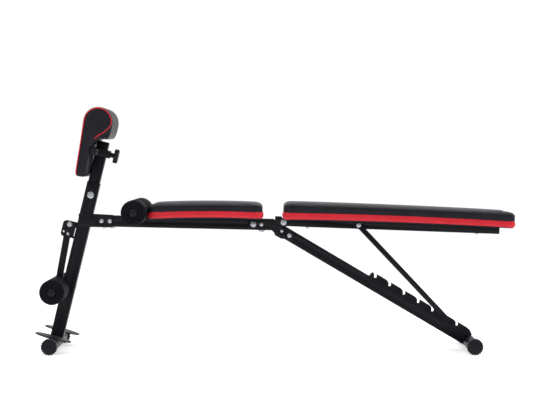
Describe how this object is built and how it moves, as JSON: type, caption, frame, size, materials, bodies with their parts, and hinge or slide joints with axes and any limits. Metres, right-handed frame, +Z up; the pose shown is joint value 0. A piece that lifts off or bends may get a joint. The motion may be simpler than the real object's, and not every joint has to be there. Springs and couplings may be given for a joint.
{
  "type": "adjustable weight bench",
  "caption": "Folding-back exercise bench with a padded seat and backrest, a notched recline rack, foam leg rollers and an arm-curl pad on a telescoping post.",
  "frame": {"origin": "on the floor, under the middle of the bench's overall box", "axes": "+X from the curl pad to the head end of the backrest, +Y across the bench, +Z up"},
  "size_m": [1.4625, 0.4, 0.7471],
  "materials": {
    "black_powder_coat": "satin",
    "zinc_plate": "satin",
    "black_foam": "matte",
    "black_vinyl": "satin",
    "black_and_red_vinyl": "satin",
    "black_plastic": "satin"
  },
  "bodies": {
    "frame": {"arm_bracket": "black_powder_coat", "arm_pivot_bolt": "zinc_plate", "backrest_pivot_bolt": "zinc_plate", "beam_hinge_bolt_1": "zinc_plate", "beam_hinge_bolt_2": "zinc_plate", "beam_under_bolt": "zinc_plate", "foot_plate_left": "black_powder_coat", "foot_plate_right": "black_powder_coat", "front_cap_left": "black_plastic", "front_cap_right": "black_plastic", "front_crossbar": "black_powder_coat", "height_clamp_bolt": "zinc_plate", "hinge_plate_left": "black_powder_coat", "hinge_plate_right": "black_powder_coat", "leg_hinge_bolt_1": "zinc_plate", "leg_hinge_bolt_2": "zinc_plate", "pivot_bush": "zinc_plate", "post_outer": "black_powder_coat", "rack_left": "black_powder_coat", "rack_right": "black_powder_coat", "rear_cap_left": "black_plastic", "rear_cap_right": "black_plastic", "rear_crossbar": "black_powder_coat", "rear_leg": "black_powder_coat", "saddle_bolt_1": "zinc_plate", "saddle_bolt_2": "zinc_plate", "saddle_left": "black_powder_coat", "saddle_right": "black_powder_coat", "saddle_under_bolt_1": "zinc_plate", "saddle_under_bolt_2": "zinc_plate", "seat_beam": "black_powder_coat", "seat_cushion": "black_and_red_vinyl", "seat_strap": "black_powder_coat", "upper_axle": "black_powder_coat", "upper_plug_left": "black_plastic", "upper_plug_right": "black_plastic"},
    "backrest": {"backrest_rail": "black_powder_coat", "rail_cap": "black_plastic", "backrest_cushion": "black_and_red_vinyl", "backrest_screw_1": "zinc_plate", "backrest_screw_2": "zinc_plate", "strut_pivot_bolt": "zinc_plate"},
    "strut": {"support_strut": "black_powder_coat"},
    "curl_head": {"post_inner": "black_powder_coat", "post_cap": "black_plastic", "pad_carrier": "black_powder_coat", "carrier_plug_left": "black_plastic", "carrier_plug_right": "black_plastic", "curl_pad": "black_vinyl"},
    "knob": {"clamp_knob": "black_plastic"},
    "leg_arm": {"roller_arm": "black_powder_coat", "arm_clamp_bolt": "zinc_plate", "lower_axle": "black_powder_coat", "lower_plug_left": "black_plastic", "lower_plug_right": "black_plastic"},
    "upper_roller_near": {"upper_roller_left": "black_foam"},
    "upper_roller_far": {"upper_roller_right": "black_foam"},
    "lower_roller_near": {"lower_roller_left": "black_foam"},
    "lower_roller_far": {"lower_roller_right": "black_foam"}
  },
  "joints": [
    {"name": "backrest_tilt", "type": "hinge", "parent": "frame", "child": "backrest", "pos_m": [0.02527, 0, 0.39463], "axis": [0, -1, 0], "range_deg": [0, 60]},
    {"name": "strut_swing", "type": "hinge", "parent": "backrest", "child": "strut", "pos_m": [0.25681, 0, 0.38614], "axis": [0, -1, 0], "range_deg": [-76, 0]},
    {"name": "curl_head_height", "type": "slide", "parent": "frame", "child": "curl_head", "axis": [0.2357, 0, 0.9718], "range_m": [0, 0.08]},
    {"name": "knob_turn", "type": "hinge", "parent": "curl_head", "child": "knob", "pos_m": [-0.53946, 0, 0.60956], "axis": [0.9718, 0, -0.2357], "range_deg": [0, 360]},
    {"name": "leg_arm_swing", "type": "hinge", "parent": "frame", "child": "leg_arm", "pos_m": [-0.63667, 0, 0.38813], "axis": [0, 1, 0], "range_deg": [0, 33]},
    {"name": "upper_roller_near_spin", "type": "hinge", "parent": "frame", "child": "upper_roller_near", "pos_m": [-0.4278, 0, 0.42835], "axis": [0, 1, 0], "continuous": true},
    {"name": "upper_roller_far_spin", "type": "hinge", "parent": "frame", "child": "upper_roller_far", "pos_m": [-0.4278, 0, 0.42835], "axis": [0, 1, 0], "continuous": true},
    {"name": "lower_roller_near_spin", "type": "hinge", "parent": "leg_arm", "child": "lower_roller_near", "pos_m": [-0.67339, 0, 0.18877], "axis": [0, 1, 0], "continuous": true},
    {"name": "lower_roller_far_spin", "type": "hinge", "parent": "leg_arm", "child": "lower_roller_far", "pos_m": [-0.67339, 0, 0.18877], "axis": [0, 1, 0], "continuous": true}
  ],
  "couplings": [
    {"joint": "strut_swing", "follows": "backrest_tilt", "ratio": -1.26}
  ]
}
